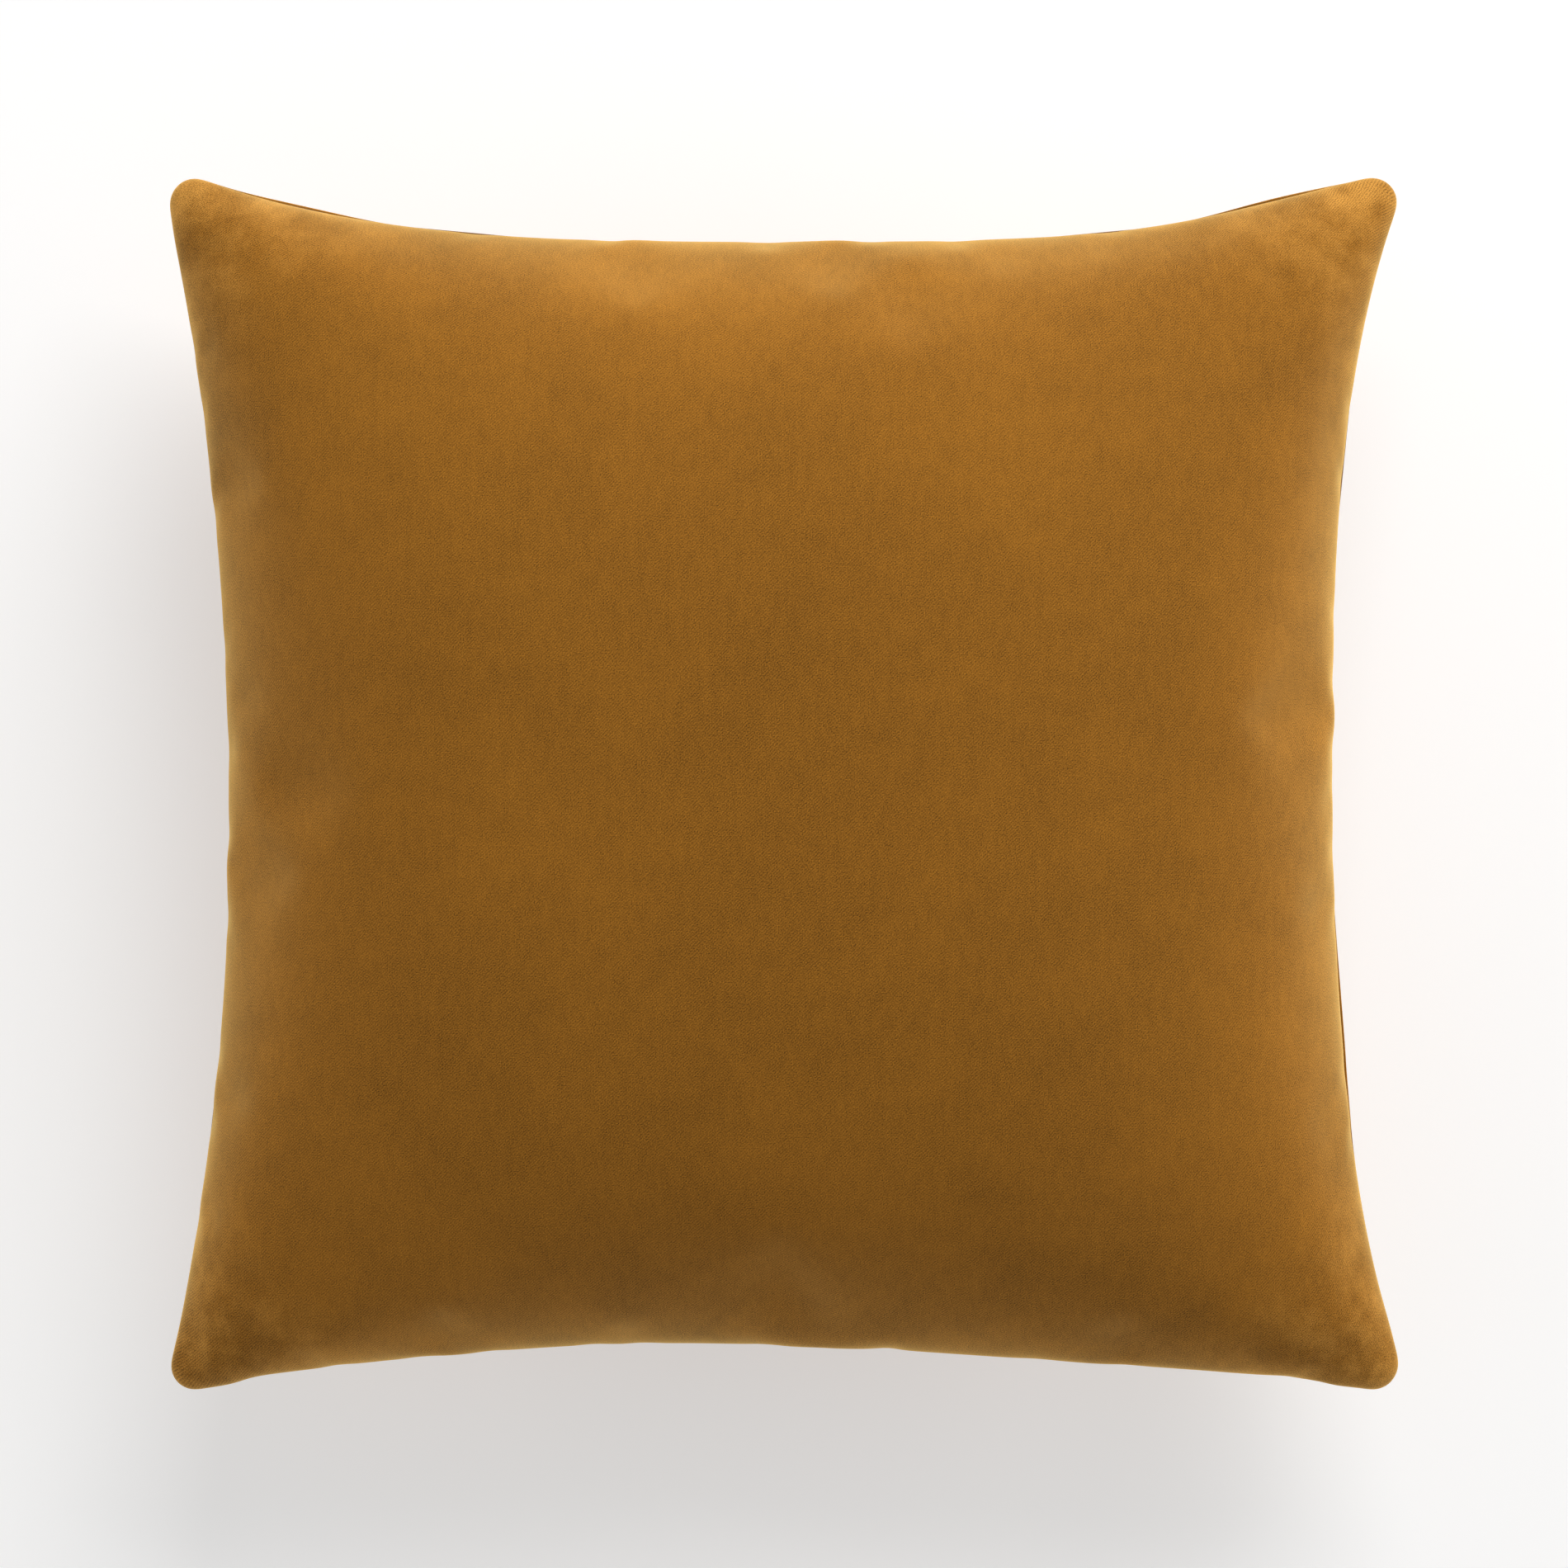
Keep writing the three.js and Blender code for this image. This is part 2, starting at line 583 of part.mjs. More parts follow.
const pillow = new THREE.Group();
pillow.add(
  piece('cover_front_panel', coverPanel(1), COLOURS.velvet, 0.9),
  piece('cover_back_panel', coverPanel(-1), COLOURS.velvetBack, 0.9),
  piece('cover_seam_thread', coverSeamThread(), COLOURS.thread, 0.7),
  piece('cover_overlock_thread', coverOverlock(), COLOURS.overlock, 0.8),
  piece('cover_care_label', coverLabel(), COLOURS.label, 0.8),
  piece('zipper_side_overlock_front', zipperSideOverlock(1), COLOURS.overlock, 0.8),
  piece('zipper_side_overlock_back', zipperSideOverlock(-1), COLOURS.overlock, 0.8),
  piece('zipper_tape_front', zipperTape(1), COLOURS.tape, 0.85),
  piece('zipper_tape_back', zipperTape(-1), COLOURS.tape, 0.85),
  piece('zipper_coil_front', zipperCoil(1), COLOURS.coil, 0.5),
  piece('zipper_coil_back', zipperCoil(-1), COLOURS.coil, 0.5),
  piece('zipper_stitch_front', zipperStitch(1), COLOURS.thread, 0.7),
  piece('zipper_stitch_back', zipperStitch(-1), COLOURS.thread, 0.7),
  piece('zipper_top_stop_front', topStop(1), COLOURS.metal, 0.4, 0.8),
  piece('zipper_top_stop_back', topStop(-1), COLOURS.metal, 0.4, 0.8),
  piece('zipper_bottom_stop', bottomStop(), COLOURS.metal, 0.4, 0.8),
  piece('insert_front_panel', insertPanel(1), COLOURS.ticking, 0.9),
  piece('insert_back_panel', insertPanel(-1), COLOURS.ticking, 0.9),
  piece('insert_seam_thread', band(SEWN_SEAM, THREAD_SECTION), COLOURS.white, 0.7),
  piece('insert_closing_thread', band(FILLED_SEAM, THREAD_SECTION), COLOURS.white, 0.7),
  piece('insert_overlock_thread', insertOverlock(), COLOURS.white, 0.8),
  piece('insert_label', insertLabel(), COLOURS.label, 0.8),
  piece('insert_fill', insertFill(), COLOURS.fill, 0.95),
);

// The slider is carried round the arc's centre, and the pull tab is carried by the slider's pin.
const carriage = new THREE.Group();
carriage.position.set(0, ARC_CENTRE_Y, SEAM_HEIGHT);
carriage.rotation.z = -SLIDER_REST / FOLD_RADIUS;
const sliderMesh = piece('zipper_slider', slider(), COLOURS.metal, 0.4, 0.8);
sliderMesh.position.y = FOLD_RADIUS;
const tabMesh = piece('zipper_pull_tab', pullTab(), COLOURS.metal, 0.4, 0.8);
tabMesh.position.y = FOLD_RADIUS - PIN_OUT;
carriage.add(sliderMesh, tabMesh);
pillow.add(carriage);

export default pillow;
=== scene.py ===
"""A square velvet throw pillow, lying on its back, seen from straight above.

The cover's two panels start as an analytic crown over the seam's outline, and are then inflated by a
cloth simulation with the seam held still. The insert and its filling follow the cover's movement. The
zipper's coils are remade as wound wire. The tapes, threads, labels and metal pieces keep their CAD
shape, the metal with slightly worn edges.
"""

import json
import math

import bpy
import numpy as np
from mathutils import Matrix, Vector


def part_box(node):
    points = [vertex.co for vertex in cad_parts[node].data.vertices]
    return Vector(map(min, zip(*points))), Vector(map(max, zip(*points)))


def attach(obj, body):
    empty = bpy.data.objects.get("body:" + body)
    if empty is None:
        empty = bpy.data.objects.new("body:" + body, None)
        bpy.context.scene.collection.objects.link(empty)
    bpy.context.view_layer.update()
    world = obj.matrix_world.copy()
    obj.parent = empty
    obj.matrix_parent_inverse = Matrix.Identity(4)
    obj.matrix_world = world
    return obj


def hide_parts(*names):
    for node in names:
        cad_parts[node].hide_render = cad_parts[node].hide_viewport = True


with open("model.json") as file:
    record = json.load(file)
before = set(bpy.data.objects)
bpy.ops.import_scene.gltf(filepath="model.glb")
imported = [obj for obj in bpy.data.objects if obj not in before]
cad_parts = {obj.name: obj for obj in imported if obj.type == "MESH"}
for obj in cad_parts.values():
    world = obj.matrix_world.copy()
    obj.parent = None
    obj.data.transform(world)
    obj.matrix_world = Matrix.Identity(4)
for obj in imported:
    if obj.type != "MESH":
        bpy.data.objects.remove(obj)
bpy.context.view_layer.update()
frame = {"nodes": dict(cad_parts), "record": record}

SEAM_LOW, SEAM_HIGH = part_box("cover_seam_thread")
SEAM_HEIGHT = (SEAM_LOW.z + SEAM_HIGH.z) / 2
HALF_WIDTH = 0.245
HALF_DEPTH = 0.242
CORNER_RADIUS = 0.0105
# Each side is pulled in to a power curve: the middle's distance from the centre, and how flat the
# middle stretch is. In the order zipper side, right, top, left.
SIDES = [(0.2231, 2.0), (0.2195, 3.0), (0.217, 3.2), (0.221, 2.0)]
CROWN = 0.092  # how high a panel would bulge from the seam plane
FULLNESS = 2.6  # 2 is an ellipse across the panel, and more is flatter on top with steeper sides
FLOOR_BLEND = 0.005  # height over which the underside flattens on to the floor
CURVE_POINTS = 400  # in a curve that is measured along its length
CORNER_ROUNDS = 30  # of working out the slope at which a side meets its corner
CROWN_SECTIONS = 200  # heights at which the cloth's spacing is worked out
CROWN_ROUNDS = 40  # of working out where the cloth lands

SIM_CELLS = 72
SIM_FRAMES = 20
SIM_PRESSURE = 4.0
SIM_START = 0.96  # the panels start slightly flatter than they end
SIM_SLACK = 0.005  # how much larger the cloth is cut than the start shape
SIM_CAP = 0.012  # the most that a point may move

CLOTH_HALF = 0.254  # half the width that a panel is cut to
# Rows of a panel's mesh, by their distance from the seam, and then evenly to the middle
EDGE_ROWS = [0, 0.0007, 0.0016, 0.0028, 0.0044, 0.0065, 0.0095, 0.0135, 0.018, 0.023, 0.028]
MIDDLE_ROWS = 42

VELVET_THICKNESS = 0.0012
TICKING_THICKNESS = 0.0008
# The zipper side has the zipper's section out to the first distance from the middle, and none of it
# past the second.
ZIP_MOUTH_HALF = 0.2095
ZIP_MOUTH_FADE = 0.2215
ZIP_RECESS = 0.0048  # the zipper's folded edges lie this far behind the cover's edge
ZIP_RECESS_WIDTH = 0.0062  # along the cloth, over which the recess fades
SEAM_RECESS = 0.0012
SEAM_RECESS_WIDTH = 0.0025
CORNER_FADE = 0.03  # length over which a side's own shape fades towards its corners
REACH_WIDTH = 0.05  # distance from a side over which its extra reach fades
ZIP_REACH_GAP = 0.0058  # beside the zipper's folds the extra reach starts this far in
# The turned-in seam allowance, as [inward from the cover's edge, away from the seam plane]
PLAIN_ALLOWANCE = [(0.0018, 0.0006), (0.0026, 0.00075), (0.005, 0.00075), (0.008, 0.00075)]
ZIP_ALLOWANCE = [(0.0055, 0.0007), (0.006, 0.00075), (0.008, 0.0044), (0.0128, 0.0044)]
INSERT_ALLOWANCE = [(0.0008, 0.0005), (0.002, 0.0005), (0.004, 0.0005), (0.006, 0.0005)]
ALLOWANCE_STEP = 0.01  # share of the panel's half-width by which each of these rows is further out
LIP = 0.0003  # half the gap between the panels at the seam
LIP_WIDTH = 0.006  # distance over which it fades
ZIP_LIP = 0.0004
ZIP_LIP_WIDTH = 0.01
CLOSED_LIP = 0.0001  # past the zipper's ends
# The gap beside the zipper is open out to the first distance from the middle, and closed past the
# second.
ZIP_GAP_HALF = 0.1985
ZIP_GAP_FADE = 0.2045

PUCKER_LENGTH = 0.0047  # of one fold, over 2 pi
PUCKER_WANDER = 0.029  # of the change in the folds' spacing along a side, over 2 pi
PUCKER_SIDE = 0.00014  # depth along the middle of a side
PUCKER_CORNER = 0.00045  # what is added to it near a corner
PUCKER_GROWS_AT = 0.12  # distance from a side's middle
PUCKER_GROWS_OVER = 0.09
PUCKER_MIDDLE = 0.026  # distance from the seam at which a fold is deepest
PUCKER_SPREAD = 0.02
PUCKER_START = 0.012  # a fold grows from nothing at the seam over this distance

# The coils' wire: its turns are a little taller than they are deep, and stop short of the seam plane,
# where the slider's bridge passes.
COIL_PITCH = 0.00125
COIL_WIRE = 0.00027  # radius
COIL_TURN_DEPTH = 0.0006
COIL_TURN_HEIGHT = 0.00066
COIL_HEIGHT = 0.0014  # of the turns' centre, from the seam plane
COIL_TUBE = 0.0008  # radius of the CAD tube
COIL_STEPS = 12  # in a turn
WIRE_SIDES = 6
METAL_BEVEL = 0.00012
METAL_NODES = [
    "zipper_slider",
    "zipper_pull_tab",
    "zipper_top_stop_front",
    "zipper_top_stop_back",
    "zipper_bottom_stop",
]

INSERT_INSET = 0.021
INSERT_CROWN = 0.0883
INSERT_REST = 0.0022  # height of its flat underside, clear of the cover's cloth
INSERT_FOLLOWS = 0.93  # share of the cover's simulated movement
FILL_INSET = 0.035
FILL_CROWN = 0.0863
FILL_REST = 0.004
FILL_FOLLOWS = 0.9

TWILL_PITCH = 0.00093
TICKING_PITCH = 0.0006
THREAD_PITCH = 0.0005
TAPE_RIB_PITCH = 0.0007
TAPE_PICK_PITCH = 0.0005
SATIN_PITCH = 0.0004
# Where the velvet's brushed look, and near the corners its painted sheen, starts and is full: distance
# from the middle, straight out to a seam, and summed over both directions for a corner.
NEAR_SEAM = (0.17, 0.245)
NEAR_CORNER = (0.38, 0.48)

FLOOR_HALF = 10.0
# The floor's own light starts to grow at the first distance from the middle, and is full at the second.
FLOOR_GLOW_FROM = (0.9, 3.2)
FLOOR_GLOW = (0.48, 0.95)
HORIZON_POWER = 5  # how closely the world's brightness keeps to the horizon
CAMERA_DISTANCE = 2.2  # above the seam plane
FRAME_WIDTH = 0.626  # what the frame takes in at the seam plane
SENSOR_WIDTH = 36


def smooth_step(x):
    x = np.clip(x, 0, 1)
    return x * x * (3 - 2 * x)


def hump(x, middle, width):
    return np.exp(-(((x - middle) / width) ** 2))


# ---------------------------------------------------------------- the outline


def side_curve(along_half, out_half, middle, flatness):
    """Half of one side, from its middle to the middle of the corner, as evenly spaced points. The
    side's curve and the corner's arc meet at one slope."""
    tilt = 0.0
    for _ in range(CORNER_ROUNDS):
        half_length = along_half - CORNER_RADIUS * (1 + math.sin(tilt))
        pull = out_half - CORNER_RADIUS * (1 - math.cos(tilt)) - middle
        tilt = math.atan(flatness * pull / half_length)
    along = np.linspace(0, half_length, CURVE_POINTS)
    out = middle + pull * (along / half_length) ** flatness
    turn = np.linspace(-tilt, math.pi / 4, CURVE_POINTS // 4)[1:]
    along = np.append(along, along_half - CORNER_RADIUS + CORNER_RADIUS * np.sin(turn))
    out = np.append(out, out_half - CORNER_RADIUS + CORNER_RADIUS * np.cos(turn))
    length = np.append(0, np.cumsum(np.hypot(np.diff(along), np.diff(out))))
    even = np.linspace(0, length[-1], CURVE_POINTS)
    return np.interp(even, length, along), np.interp(even, length, out)


def outline_side(k, places, inset):
    """Points of side k at places from -1 to 1 along it, running anticlockwise."""
    halves = (HALF_WIDTH - inset, HALF_DEPTH - inset)
    along_half, out_half = halves if k % 2 == 0 else halves[::-1]
    along, out = side_curve(along_half, out_half, SIDES[k][0] - inset, SIDES[k][1])
    at = np.abs(places) * (CURVE_POINTS - 1)
    along = np.sign(places) * np.interp(at, range(CURVE_POINTS), along)
    out = np.interp(at, range(CURVE_POINTS), out)
    turn = (k - 1) * math.pi / 2
    x = out * math.cos(turn) - along * math.sin(turn)
    y = out * math.sin(turn) + along * math.cos(turn)
    return np.stack([x, y], -1)


def crown_left(u):
    """Square of the crown's height at the share u of the way out: 1 in the middle, 0 at the seam."""
    return (1 - np.abs(u) ** FULLNESS).clip(0)


def crown_places(cloth_places):
    """Where evenly spaced cloth lands: the shares (u, v) of the half-width and half-depth under each
    place of a square grid. Cloth spent on the crown's rise is not spent across, so each row is
    spaced by the height of its own section: fully over the middle, and not at all along the seams."""
    angle = np.linspace(0, math.pi / 2, CURVE_POINTS)
    across = np.sin(angle) ** (2 / FULLNESS)
    reached = []
    for rise in np.linspace(0, 1, CROWN_SECTIONS):
        up = rise * CROWN / HALF_WIDTH * np.cos(angle)
        length = np.append(0, np.cumsum(np.hypot(np.diff(across), np.diff(up))))
        reached.append(np.interp(np.abs(cloth_places) * length[-1], length, across))
    reached = np.array(reached)
    row = np.arange(len(cloth_places))[:, None]
    u = np.abs(np.tile(cloth_places[:, None], (1, len(cloth_places))))
    for _ in range(CROWN_ROUNDS):
        section = np.sqrt(crown_left(u.T)) * (CROWN_SECTIONS - 1)
        low = section.astype(int).clip(0, CROWN_SECTIONS - 2)
        part = section - low
        u = (u + (1 - part) * reached[low, row] + part * reached[low + 1, row]) / 2
    u = np.sign(cloth_places)[:, None] * u
    return u, u.T


def crown_shape(cloth_places, inset, crown):
    """A panel's start shape on a square grid, as offsets from the middle of the seam plane. In plan it
    is blended from its four sides, less the corners, which the sides count twice."""
    u, v = crown_places(cloth_places)
    across = ((u + 1) / 2)[..., None]
    along = ((v + 1) / 2)[..., None]
    sides = (1 - along) * outline_side(0, u, inset) + along * outline_side(2, -u, inset)
    sides = sides + (1 - across) * outline_side(3, -v, inset) + across * outline_side(1, v, inset)
    ends = np.array([-1.0, 1.0])
    bottom, top = outline_side(0, ends, inset), outline_side(2, -ends, inset)
    corners = (1 - across) * ((1 - along) * bottom[0] + along * top[0])
    corners = corners + across * ((1 - along) * bottom[1] + along * top[1])
    rise = np.sqrt(crown_left(u) * crown_left(v))
    return np.dstack([sides - corners, crown * rise])


# ---------------------------------------------------------------- the cloth simulation


def grid_indices(cells):
    return np.arange((cells + 1) ** 2).reshape(cells + 1, cells + 1)


def grid_faces(index):
    corners = [index[:-1, :-1], index[1:, :-1], index[1:, 1:], index[:-1, 1:]]
    return np.stack(corners, -1).reshape(-1, 4)


def new_object(name, points, faces):
    mesh = bpy.data.meshes.new(name)
    mesh.from_pydata(np.asarray(points).tolist(), [], [list(map(int, f)) for f in faces])
    obj = bpy.data.objects.new(name, mesh)
    bpy.context.scene.collection.objects.link(obj)
    return obj


def inflate(front):
    """How far each point of the two panels moves when the closed cover fills with air."""
    index = grid_indices(SIM_CELLS)
    rim = np.ones(index.shape, bool)
    rim[1:-1, 1:-1] = False
    back = front * [1, 1, -1]
    start = np.concatenate([front.reshape(-1, 3), back[~rim]])
    back_index = index.copy()
    back_index[~rim] = index.size + np.arange((~rim).sum())
    faces = np.concatenate([grid_faces(index), grid_faces(back_index)[:, ::-1]])
    body = new_object("inflating", start, faces)
    held = body.vertex_groups.new(name="seam")
    held.add([int(i) for i in index[rim]], 1.0, "REPLACE")

    cloth = body.modifiers.new("cloth", "CLOTH")
    cloth.point_cache.frame_start = 1
    cloth.point_cache.frame_end = SIM_FRAMES
    cloth.collision_settings.use_collision = False
    fabric = cloth.settings
    fabric.quality = 6
    fabric.mass = 0.3
    fabric.tension_stiffness = 30
    fabric.compression_stiffness = 30
    fabric.shear_stiffness = 15
    fabric.bending_stiffness = 12
    fabric.tension_damping = fabric.compression_damping = fabric.shear_damping = 15
    fabric.air_damping = 3
    fabric.shrink_min = -SIM_SLACK
    fabric.vertex_group_mass = "seam"
    fabric.use_pressure = True
    fabric.uniform_pressure_force = SIM_PRESSURE
    fabric.effector_weights.gravity = 0
    for number in range(1, SIM_FRAMES + 1):
        bpy.context.scene.frame_set(number)
    evaluated = body.evaluated_get(bpy.context.evaluated_depsgraph_get())
    end = np.array([v.co for v in evaluated.data.vertices])
    mesh = body.data
    bpy.data.objects.remove(body)
    bpy.data.meshes.remove(mesh)
    bpy.context.scene.frame_set(1)

    moved = end - start
    length = np.linalg.norm(moved, axis=1, keepdims=True)
    moved *= SIM_CAP * np.tanh(length / SIM_CAP) / length.clip(1e-9)
    return moved[index], moved[back_index]


def cubic_weights(places, count):
    """Rows of weights that give values at places from -1 to 1, from `count` evenly spaced ones."""
    at = (np.asarray(places) + 1) / 2 * (count - 1)
    cell = at.astype(int).clip(0, count - 2)
    t = at - cell
    weights = [
        -t + 2 * t**2 - t**3,
        2 - 5 * t**2 + 3 * t**3,
        t + 4 * t**2 - 3 * t**3,
        t**3 - t**2,
    ]
    padded = np.zeros((len(t), count + 2))
    for k, weight in enumerate(weights):
        np.add.at(padded, (np.arange(len(t)), cell + k), weight / 2)
    # Past each end, the values run on in a straight line.
    rows = padded[:, 1:-1]
    rows[:, 0] += 2 * padded[:, 0]
    rows[:, 1] -= padded[:, 0]
    rows[:, -1] += 2 * padded[:, -1]
    rows[:, -2] -= padded[:, -1]
    return rows


def resampled(grid, places):
    """A square grid of points, smoothly resampled at other places."""
    rows = cubic_weights(places, len(grid))
    return np.einsum("ai,bj,ijk->abk", rows, rows, grid)


# ---------------------------------------------------------------- panels


def panel_places():
    """Places of a panel's rows across its cloth, from -1 to 1 and close together at the seams."""
    edge = 1 - np.array(EDGE_ROWS) / CLOTH_HALF
    middle = np.linspace(edge[-1], 0, MIDDLE_ROWS + 1)[1:]
    half = np.concatenate([edge, middle])
    return np.concatenate([-half, half[-2::-1]])


def zip_share(x):
    """How much of the zipper's section the zipper side has at x: 1 in its mouth, and 0 past its ends."""
    return smooth_step((ZIP_MOUTH_FADE - np.abs(x)) / (ZIP_MOUTH_FADE - ZIP_MOUTH_HALF))


def rest_on_floor(z, rest_height):
    """Heights pressed flat at the rest height, with a soft start."""
    above = z - rest_height
    near = (FLOOR_BLEND - np.abs(above)).clip(0)
    return rest_height + np.maximum(above, 0) + near**2 / (4 * FLOOR_BLEND)


def boundary_loop(index):
    """The grid's rim, anticlockwise from the zipper side's left end."""
    return np.concatenate([index[:-1, 0], index[-1, :-1], index[:0:-1, -1], index[0, :0:-1]])


def loop_normals(points):
    """Outward normals of a closed anticlockwise loop, in plan."""
    along = np.roll(points, -1, 0)[:, :2] - np.roll(points, 1, 0)[:, :2]
    along /= np.linalg.norm(along, axis=1, keepdims=True)
    return np.stack([along[:, 1], -along[:, 0]], 1)


def panel_object(name, surface, places, edge, allowance, up, thickness, rest_height):
    """A panel of cloth from its surface on a grid, its seam allowance turned in along `edge`."""
    index = grid_indices(len(places) - 1)
    loop = boundary_loop(index)
    normals = loop_normals(edge)
    rings, faces = [], [grid_faces(index)]
    last = loop
    count = surface.shape[0] * surface.shape[1]
    for section in allowance:
        inward, away = section.T
        ring = np.empty((len(loop), 3))
        ring[:, :2] = edge[:, :2] - normals * inward[:, None]
        ring[:, 2] = up * away
        rings.append(ring)
        new = count + np.arange(len(loop))
        faces.append(np.stack([last, new, np.roll(new, -1), np.roll(last, -1)], 1))
        last, count = new, count + len(loop)
    points = np.concatenate([surface.reshape(-1, 3), *rings]) + [0, 0, SEAM_HEIGHT]
    if up < 0:
        points[:, 2] = rest_on_floor(points[:, 2], rest_height)
    faces = np.concatenate(faces)
    obj = new_object(name, points, faces if up > 0 else faces[:, ::-1])

    flat = np.stack(np.meshgrid(places, places, indexing="ij"), -1).reshape(-1, 2)
    turned = [flat[loop] * (1 + ALLOWANCE_STEP * (k + 1)) for k in range(len(allowance))]
    cloth = np.concatenate([flat, *turned]) * CLOTH_HALF
    layer = obj.data.uv_layers.new(name="cloth")
    corner = np.array([l.vertex_index for l in obj.data.loops])
    layer.data.foreach_set("uv", cloth[corner].astype(np.float32).ravel())

    solid = obj.modifiers.new("thickness", "SOLIDIFY")
    solid.thickness = thickness
    solid.offset = -1
    smooth = obj.modifiers.new("smooth", "SUBSURF")
    smooth.levels = smooth.render_levels = 1
    obj.data.polygons.foreach_set("use_smooth", [True] * len(obj.data.polygons))
    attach(obj, "pillow")
    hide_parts(name.replace("_cloth", ""))
    return obj


def side_distances(places):
    """Distance along the cloth from each side, in the order zipper side, right, top, left."""
    low = (1 + places) * CLOTH_HALF
    high = (1 - places) * CLOTH_HALF
    u_low, v_low = np.meshgrid(low, low, indexing="ij")
    u_high, v_high = np.meshgrid(high, high, indexing="ij")
    return [v_low, u_high, v_high, u_low]


def edge_shifts(x, y, up):
    """How far the cover really reaches past each side's plain curve, in the order of SIDES. The back
    panel sags away from the zipper, and shows past the front one beside the corners."""
    if up > 0:
        zip_side_part, showing = 1.0, 0.0
    else:
        zip_side_part, showing = 0.4, 0.0014
    return [
        zip_side_part * (0.001 + 0.0052 * hump(x, 0.1, 0.11)),
        0.0019 * smooth_step(-y / 0.12) + showing * hump(y, -0.1, 0.05),
        0.0022 * hump(x, 0.2, 0.04) + showing * (hump(x, 0.195, 0.028) + hump(x, -0.192, 0.03)),
        0.0007 + 0.0009 * np.tanh((y + 0.03) / 0.05),
    ]


def puckers(x, y, distances, up):
    """Height of the shallow folds that run in from the seams, deepest where the corners gather them."""
    height = np.zeros_like(x)
    for k, distance in enumerate(distances):
        along = x if k % 2 == 0 else y
        wander = np.sin(along / PUCKER_WANDER + 1.7 * k + up)
        wave = np.sin(along / PUCKER_LENGTH + 2 * wander + k)
        near_corner = smooth_step((np.abs(along) - PUCKER_GROWS_AT) / PUCKER_GROWS_OVER)
        depth = PUCKER_SIDE + PUCKER_CORNER * near_corner
        spread = hump(distance, PUCKER_MIDDLE, PUCKER_SPREAD) * smooth_step(distance / PUCKER_START)
        height += depth * wave * spread
    return height


def seam_shaping(x, y, distances, up):
    """What the seams do to a panel: the sideways shift of each point, the part of it that the seam
    itself moves by, and the height of the lip along the seam."""
    outward = [np.array([0, -1]), np.array([1, 0]), np.array([0, 1]), np.array([-1, 0])]
    corner_fade = [
        smooth_step((HALF_WIDTH - np.abs(x)) / CORNER_FADE),
        smooth_step((HALF_DEPTH - np.abs(y)) / CORNER_FADE),
    ]
    shift = np.zeros(x.shape + (2,))
    reach_at_seam = np.zeros_like(shift)
    lip = np.full(x.shape, LIP)
    reaches = edge_shifts(x, y, up)
    for k, distance in enumerate(distances):
        recess = SEAM_RECESS * corner_fade[k % 2]
        width = SEAM_RECESS_WIDTH
        reach = reaches[k] * corner_fade[k % 2] * hump(distance, 0, REACH_WIDTH)
        if k == 0:
            zip_part = zip_share(x)
            recess = recess + (ZIP_RECESS - SEAM_RECESS) * zip_part
            width = SEAM_RECESS_WIDTH + (ZIP_RECESS_WIDTH - SEAM_RECESS_WIDTH) * zip_part
            gap_part = smooth_step((ZIP_GAP_FADE - np.abs(x)) / (ZIP_GAP_FADE - ZIP_GAP_HALF))
            seam_lip = CLOSED_LIP + (ZIP_LIP - CLOSED_LIP) * gap_part
            lip = lip + (seam_lip - LIP) * corner_fade[0] * np.exp(-distance / ZIP_LIP_WIDTH)
            reach = reach * (1 - hump(distance, 0, ZIP_REACH_GAP))
        reach_at_seam += reach[..., None] * outward[k]
        shift += (reach - recess * np.exp(-distance / width))[..., None] * outward[k]
    lip = lip * np.exp(-np.minimum.reduce(distances) / LIP_WIDTH)
    return shift, reach_at_seam, lip


def cover_allowance(edge, zip_side_count):
    """The turned-in allowance along the edge: the zipper's section in its mouth, plain elsewhere."""
    share = zip_share(edge[:, 0])
    share[zip_side_count:] = 0
    share = share[:, None]
    sections = zip(PLAIN_ALLOWANCE, ZIP_ALLOWANCE)
    return [np.array(plain) * (1 - share) + np.array(zipped) * share for plain, zipped in sections]


def cover_panel(up, moved):
    places = panel_places()
    distances = side_distances(places)
    surface = crown_shape(places, 0, CROWN * SIM_START) + resampled(moved, places) * [1, 1, up]
    loop = boundary_loop(grid_indices(len(places) - 1))
    edge = surface.reshape(-1, 3)[loop].copy()

    shift, reach_at_seam, lip = seam_shaping(surface[..., 0], surface[..., 1], distances, up)
    surface[..., :2] += shift
    edge[:, :2] += reach_at_seam.reshape(-1, 2)[loop]
    surface[..., 2] += lip + puckers(surface[..., 0], surface[..., 1], distances, up)
    surface[..., 2] *= up

    allowance = cover_allowance(edge, len(places))
    name = "cover_front_panel_cloth" if up > 0 else "cover_back_panel_cloth"
    return panel_object(name, surface, places, edge, allowance, up, VELVET_THICKNESS, 0)


def insert_panel(up, moved):
    places = panel_places()[::2]
    surface = crown_shape(places, INSERT_INSET, INSERT_CROWN * SIM_START) * [1, 1, up]
    surface = surface + INSERT_FOLLOWS * resampled(moved, places)
    edge = surface.reshape(-1, 3)[boundary_loop(grid_indices(len(places) - 1))].copy()
    allowance = [np.tile(p, (len(edge), 1)) for p in INSERT_ALLOWANCE]
    name = "insert_front_panel_cloth" if up > 0 else "insert_back_panel_cloth"
    return panel_object(
        name, surface, places, edge, allowance, up, TICKING_THICKNESS, INSERT_REST
    )


